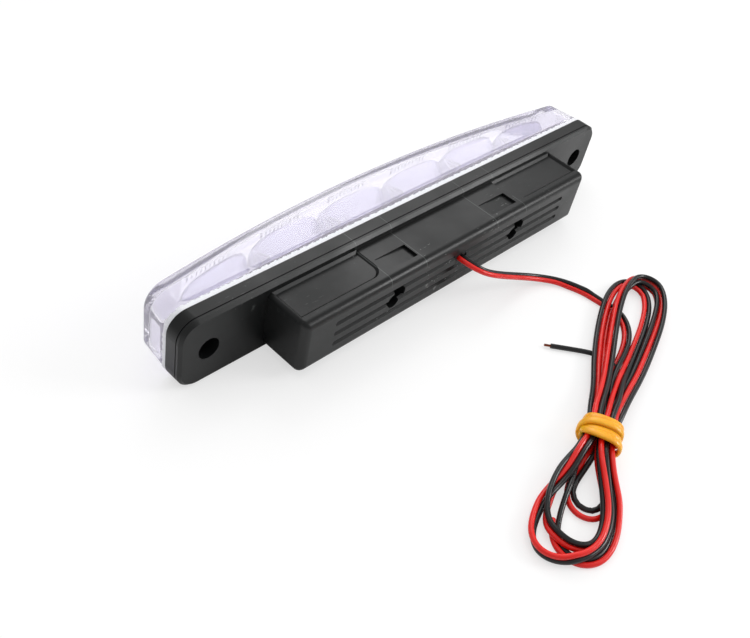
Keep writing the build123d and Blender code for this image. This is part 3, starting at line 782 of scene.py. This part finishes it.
cup_grids = []
for centre in cup_centres:
    hollow = bowl(centre, cup_half_width, cup_half_height - wall_above, cup_apex, cup_floor - wall_at_floor)
    hull = bowl(centre, cup_half_width + wall_at_cusp, cup_half_height, cup_apex + cup_wall, cup_floor)
    rim = np.stack([hollow[-1], hull[-1]])
    floors = [np.stack([edge * 0 + edge.mean(axis=0), edge]) for edge in (hollow[0], hull[0])]
    cup_grids += [grid * mm for grid in (hollow, hull, rim, *floors)]
cups = piece_from("clear_cups", cup_grids, [(False, True)] * len(cup_grids), cup_clear)
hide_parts("optic_strip")


# %% [markdown]
# ### Base strip and fans
# The cups stand on a clear strip, and behind each pair of neighbours a fan of three thin ribs runs from
# the meeting of their rims down to the strip. Each is a rounded slab: a superellipse carried along a line.

# %% Slabs
slab_sides, side_power, top_power = 20, 0.4, 0.25


def slab(start, end, thickness, low, high, steps=12):
    """A flat bar between two points of the plan: start + s (end - start), rounded in thickness and height."""
    start, end = np.array(start), np.array(end)
    along = (end - start) / np.linalg.norm(end - start)
    side = np.array([-along[1], along[0]])
    share = np.concatenate([[0.0, 0.0], np.linspace(0, 1, steps), [1.0, 1.0]])
    size = np.concatenate([[0.0, 0.7], np.ones(steps), [0.7, 0.0]])[:, None]
    cosine, sine = circle(slab_sides)
    across = thickness / 2 * power(cosine, side_power) * size
    height = (low + high) / 2 + (high - low) / 2 * power(sine, top_power) * size
    plan = start + share[:, None] * (end - start)
    x = plan[:, :1] + side[0] * across
    y = plan[:, 1:] + side[1] * across
    return np.stack(np.broadcast_arrays(x, y, height), axis=-1)


fan_thickness, fan_spread, fan_inset, fan_step, fan_margin = 0.7, 3.4, 1.2, 0.6, 1
base_gap, rib_gap, base_steps = 0.1, 0.05, 40
low, high = strip_low[2], strip_high[2]
ends = [(x, strip_rear - base_thickness / 2) for x in (strip_low[0], strip_high[0])]
base_grids = [slab(*ends, base_thickness - base_gap, low, high, base_steps)]
fan_front = cup_apex - cup_depth + fan_inset
for cusp in cup_centres[:-1] + cup_pitch / 2:
    top = max(fan_front, bow(cusp) + front_clearance + fan_inset)
    for lean in (-1, 0, 1):
        start = (cusp, top + fan_step * abs(lean))
        end = (cusp + lean * fan_spread, strip_rear - base_thickness - rib_gap)
        base_grids.append(slab(start, end, fan_thickness, low + fan_margin, high - fan_margin))
base_grids = [grid * mm for grid in base_grids]
wraps = [(False, True)] * len(base_grids)
base = piece_from("clear_base_and_fans", base_grids, wraps, base_clear)
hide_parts("optic_strip")

# %% [markdown]
# ## The sealant
# A bead of white sealant closes the cover to the housing. It was squeezed out by hand, so its edge wanders
# and tears along the rim. It is a closed ring of rounded section, and sums of waves move its outer edge.
# A thin fillet stands against the inside of the cover, and a film with a torn edge lies over its foot.


# %% Sealant bead
wave_parts = ((0.37, 0.3), (0.83, 1.1), (1.9, 2.0), (2.7, 0.7))
ring_rows, ring_sides, reach_power = 41, 12, 0.6


def ragged_waves(count):
    """Four waves of the step, added and pressed between -0.5 and 0.5, for a torn edge."""
    steps = np.arange(count)
    return 0.5 * np.tanh(1.2 * sum(np.sin(steps * rate + phase) for rate, phase in wave_parts))


def ring(inset, outward, inward, middle_y, half_depth, depth_power, samples, wander=0.0, swelling=0.0):
    """A ring on the lamp's rounded outline: across = reach cos^0.6 and y = middle + half depth sin^p.

    The reach is one value outward and one inward. The torn waves move the outward one by the wander, and
    the depth by the share called swelling."""
    half_x, half_z, radius = lamp_half[0] - inset, lamp_half[1] - inset, corner_radius - inset
    columns = np.linspace(-1, 1, samples)
    _, _, loop_x, loop_z, out_x, out_z = outline(half_x, half_z, radius, columns, ring_rows)
    ragged = ragged_waves(len(loop_x))[:, None]
    cosine, sine = circle(ring_sides)
    shift = np.where(cosine > 0, outward + wander * ragged, inward) * power(cosine, reach_power)
    x = loop_x[:, None] + out_x[:, None] * shift
    y = middle_y + half_depth * (1 + swelling * ragged) * power(sine, depth_power)
    z = cover_middle + loop_z[:, None] + out_z[:, None] * shift
    return np.stack([x, y, z], axis=-1)


bead_low, bead_high = (np.array(corner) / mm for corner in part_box("sealant_bead"))
lamp_half = (bead_high[0], (bead_high[2] - bead_low[2]) / 2)
bead_y = (bead_low[1] + bead_high[1]) / 2 - 0.05
bead_grid = ring(
    inset=1.2, outward=1.1, inward=1.9, middle_y=bead_y, half_depth=0.32, depth_power=0.6,
    samples=900, wander=0.22, swelling=0.25,
)
liner_grid = ring(
    inset=2.3, outward=0.09, inward=0.09, middle_y=-2.5, half_depth=0.9, depth_power=0.4, samples=300
)
smear_grid = ring(
    inset=0.07, outward=0.05, inward=0.05, middle_y=-1.85, half_depth=0.75, depth_power=0.4, samples=900
)
front_edge, tear = -1.9, 0.45
torn = tear * ragged_waves(len(smear_grid))[:, None]
smear_grid[..., 1] += np.where(smear_grid[..., 1] < front_edge, torn, 0.0)
print("sealant ring:", bead_grid.shape)

# %% [markdown]
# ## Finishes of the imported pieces
# The housing, boards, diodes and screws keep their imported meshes, which have the right form. Each gets the
# finish of what it is made of.


# %% Black ABS
mould_lines = (15.0, 28.5)


def moulded_abs():
    """Moulded black ABS: near black, satin, IOR 1.54, finely sparked, with pale scratches and dust marks.

    Two fine mould lines cross its top faces on each side of the middle, each a dark line with a painted
    highlight, a pale line, beside it."""
    material, tree = new_tree("moulded_black_abs")
    place = add(tree, "TexCoord").outputs["Object"]
    cloud = add(tree, "TexNoise", {"Vector": place, "Scale": 45.0, "Detail": 4.0, "Roughness": 0.6})
    tones = {"Factor": cloud, "A": linear("#0B0C0D"), "B": linear("#161818")}
    tone = add(tree, "Mix", tones, data_type="RGBA")
    stretched = add(tree, "Mapping", {"Vector": place, "Rotation": (0.0, 0.0, 0.6), "Scale": (1.0, 9.0, 1.0)})
    strokes = add(tree, "TexNoise", {"Vector": stretched, "Scale": 320.0, "Detail": 3.0})
    patches = add(tree, "TexNoise", {"Vector": place, "Scale": 70.0, "Detail": 2.0})
    scratch = add(tree, "MapRange", {"Value": strokes, "From Min": 0.66, "From Max": 0.74})
    patch = add(tree, "MapRange", {"Value": patches, "From Min": 0.48, "From Max": 0.62})
    scuff = add(tree, "Math", {0: scratch, 1: patch}, operation="MULTIPLY")
    specks = add(tree, "TexVoronoi", {"Vector": place, "Scale": 420.0})
    speck = add(tree, "MapRange", {"Value": specks, "From Min": 0.09, "From Max": 0.04})
    dust = add(tree, "Math", {0: speck, 1: patch}, operation="MULTIPLY")
    marks = add(tree, "Math", {0: scuff, 1: dust}, operation="MAXIMUM")
    parts = add(tree, "SeparateXYZ", {0: place}).outputs
    span = add(tree, "Math", {0: parts["X"]}, operation="ABSOLUTE")
    worn = add(
        tree,
        "MapRange",
        {"Value": span, "From Min": 20 * mm, "From Max": 45 * mm, "To Min": 0.6, "To Max": 0.15},
    )
    faint = add(tree, "Math", {0: marks, 1: worn}, operation="MULTIPLY")
    colour = add(tree, "Mix", {"Factor": faint, "A": tone, "B": linear("#A9ADAA")}, data_type="RGBA")
    above = add(tree, "MapRange", {"Value": parts["Z"], "From Min": 15.5 * mm, "From Max": 17.5 * mm})
    # First pass: the dark line of each mould seam. Second pass: a painted highlight, the pale line beside it.
    # Both are painted on the top faces only.
    for shift, width, seam_and_highlight_code in ((0.0, 0.14, "#020202"), (0.26, 0.12, "#454948")):
        near, far = (
            add(tree, "Math", {0: span, 1: (seam + shift) * mm, 2: width * mm}, operation="COMPARE")
            for seam in mould_lines
        )
        either = add(tree, "Math", {0: near, 1: far}, operation="MAXIMUM")
        seam_and_highlight = add(tree, "Math", {0: either, 1: above}, operation="MULTIPLY")
        colour = add(tree, "Mix", {"Factor": seam_and_highlight, "A": colour, "B": linear(seam_and_highlight_code)}, data_type="RGBA")
    gloss = add(
        tree,
        "MapRange",
        {"Value": cloud, "From Min": 0.3, "From Max": 0.7, "To Min": 0.3, "To Max": 0.46},
    )
    spark = add(tree, "TexNoise", {"Vector": place, "Scale": 2600.0, "Detail": 2.0})
    bump = add(tree, "Bump", {"Height": spark, "Strength": 0.15, "Distance": 0.04 * mm})
    body = add(tree, "BsdfPrincipled", {
        "Base Color": colour,
        "Roughness": gloss,
        "IOR": 1.54,
        "Specular IOR Level": 0.33,
        "Normal": bump,
    })
    add(tree, "OutputMaterial", {"Surface": body})
    return material


# %% Plain finishes
def grained(name, dark, light, roughness, grain_mm, metallic=0.0, ior=1.5, glow=0.0):
    """A body colour between two shades by a noise of the given grain, with a fine bump of the same grain."""
    material, tree = new_tree(name)
    place = add(tree, "TexCoord").outputs["Object"]
    noise = add(tree, "TexNoise", {"Vector": place, "Scale": 1 / (grain_mm * mm), "Detail": 3.0})
    colour = add(tree, "Mix", {"Factor": noise, "A": linear(dark), "B": linear(light)}, data_type="RGBA")
    bump = add(tree, "Bump", {"Height": noise, "Strength": 0.15, "Distance": 0.05 * mm})
    body = add(tree, "BsdfPrincipled", {
        "Base Color": colour,
        "Roughness": roughness,
        "Metallic": metallic,
        "IOR": ior,
        "Subsurface Weight": glow,
        "Subsurface Radius": (1.0, 1.0, 1.0),
        "Subsurface Scale": 0.5 * mm,
        "Normal": bump,
    })
    add(tree, "OutputMaterial", {"Surface": body})
    return material


black_abs = moulded_abs()
white_abs = grained("moulded_white_abs", "#DDDCE6", "#EFEEF5", 0.35, 2.0)
solder_mask = grained("green_solder_mask", "#0E3A22", "#17512F", 0.3, 1.2)
diode_resin = grained("phosphor_and_silicone", "#E2D58A", "#F1EBC4", 0.25, 0.8, ior=1.45)
chip_epoxy = grained("moulded_epoxy", "#17181A", "#242527", 0.5, 0.5)
can_aluminium = grained("drawn_aluminium", "#B6B7BA", "#CFCFD1", 0.3, 0.6, metallic=1.0)
zinc_steel = grained("zinc_plated_steel", "#9A9A96", "#BCBBB4", 0.35, 0.4, metallic=1.0)
soft_rubber = grained("moulded_soft_rubber", "#121313", "#1D1E1E", 0.6, 0.6)
copper_strands = grained("bare_copper_strands", "#5A2018", "#A65A3A", 0.35, 0.25, metallic=1.0)
silicone = grained("white_silicone_sealant", "#DADBE0", "#F6F6FA", 0.4, 0.7, glow=0.2)

sealant_grids = [grid * mm for grid in (bead_grid, liner_grid, smear_grid)]
bead = piece_from("sealant_ring", sealant_grids, [(True, True)] * 3, silicone)
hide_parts("sealant_bead")

finishes = (
    (black_abs, ["housing"]),
    (white_abs, ["reflector_plate"]),
    (solder_mask, ["diode_board", "driver_board"]),
    (chip_epoxy, ["regulator", "rectifier", "board_link", *[f"resistor_{n}" for n in range(1, 4)]]),
    (can_aluminium, ["capacitor"]),
    (zinc_steel, ["case_screw_left", "case_screw_right"]),
    (soft_rubber, ["cable_seal"]),
    (red_vinyl, ["inner_wire_red"]),
    (black_vinyl, ["inner_wire_black"]),
    (copper_strands, ["bare_strands"]),
    (diode_resin, [f"light_diode_{n}" for n in range(1, cup_count + 1)]),
)
for material, names in finishes:
    for name in names:
        mesh = nodes[name].data
        if len(mesh.materials):
            mesh.materials[0] = material
        else:
            mesh.materials.append(material)
    print(material.name, "for", len(names))

# %% [markdown]
# ## Light and table
# The lamp lies on a glossy white table in even light, so the shadows are faint. The world is white for
# the camera and for what is seen through the clear cover. Gloss sees a darker room with one bright part,
# which keeps the ABS dark, and the rest gets a level that grows towards the main light.

# %% Floor
half = 1.5
floor_mesh = bpy.data.meshes.new("table_top")
corners = [(-half, -half, 0), (half, -half, 0), (half, half, 0), (-half, half, 0)]
floor_mesh.from_pydata(corners, [], [(0, 1, 2, 3)])
floor = bpy.data.objects.new("table_top", floor_mesh)
scene.collection.objects.link(floor)
acrylic, tree = new_tree("white_acrylic_table")
rays = add(tree, "LightPath").outputs
seen = add(tree, "Math", {0: rays["Is Camera Ray"], 1: rays["Is Transmission Ray"]}, operation="MAXIMUM")
skin = {"Base Color": linear("#FAFAFA"), "Roughness": 0.3, "IOR": 1.49, "Specular IOR Level": 0.25}
table = add(tree, "BsdfPrincipled", skin)
white = add(tree, "Emission", {"Color": (1, 1, 1, 1), "Strength": 1.0})
glow_share = 0.6
lift = add(tree, "Math", {0: seen, 1: glow_share}, operation="MULTIPLY")
blend = add(tree, "MixShader", {0: lift, 1: table, 2: white})
add(tree, "OutputMaterial", {"Surface": blend})
floor_mesh.materials.append(acrylic)

# %% World and lamps
light_from = (-0.56, -0.48, 0.67)
world = bpy.data.worlds.new("studio")
scene.world = world
world.use_nodes = True
tree = world.node_tree
tree.nodes.clear()
rays = add(tree, "LightPath").outputs
clear = add(tree, "Math", {0: rays["Is Camera Ray"], 1: rays["Is Transmission Ray"]}, operation="MAXIMUM")
direction = add(tree, "TexCoord").outputs["Generated"]
facing = add(tree, "VectorMath", {0: direction, 1: light_from}, operation="DOT_PRODUCT")
levels = {"Value": facing, "From Min": -0.35, "From Max": 1.0, "To Min": 0.3, "To Max": 1.35}
level = add(tree, "MapRange", levels)
room_levels = {"Value": facing, "From Min": 0.93, "From Max": 1.0, "To Min": 0.4, "To Max": 1.2}
room = add(tree, "MapRange", room_levels)
soft = add(tree, "Background", {"Color": (1, 1, 1, 1), "Strength": level})
gloss = add(tree, "Background", {"Color": (1, 1, 1, 1), "Strength": room})
bright = add(tree, "Background", {"Color": (1, 1, 1, 1), "Strength": 1.0})
shaded = add(tree, "MixShader", {0: rays["Is Glossy Ray"], 1: soft, 2: gloss})
blend = add(tree, "MixShader", {0: clear, 1: shaded, 2: bright})
add(tree, "OutputWorld", {"Surface": blend})


def soft_box(name, place, target, size, watts):
    """A square area lamp at a place, aimed at a target: its tilt and its turn are two arctangents."""
    data = bpy.data.lights.new(name, "AREA")
    data.size = size
    data.energy = watts
    lamp = bpy.data.objects.new(name, data)
    lamp.location = place
    aim = np.array(target) - np.array(place)
    tilt = math.atan2(math.hypot(aim[0], aim[1]), -aim[2])
    lamp.rotation_euler = (tilt, 0, math.atan2(aim[1], aim[0]) - math.pi / 2)
    scene.collection.objects.link(lamp)


key_place = tuple(0.8 * part for part in light_from)
soft_box("key_box", key_place, target=(0.02, 0.03, 0), size=0.35, watts=0.7)
soft_box("edge_box", (-0.52, 0.47, 0.38), target=(0, 0.01, 0.015), size=0.26, watts=2.2)
print("lamps:", [lamp.name for lamp in bpy.data.lights])
scene.view_settings.view_transform = "Standard"
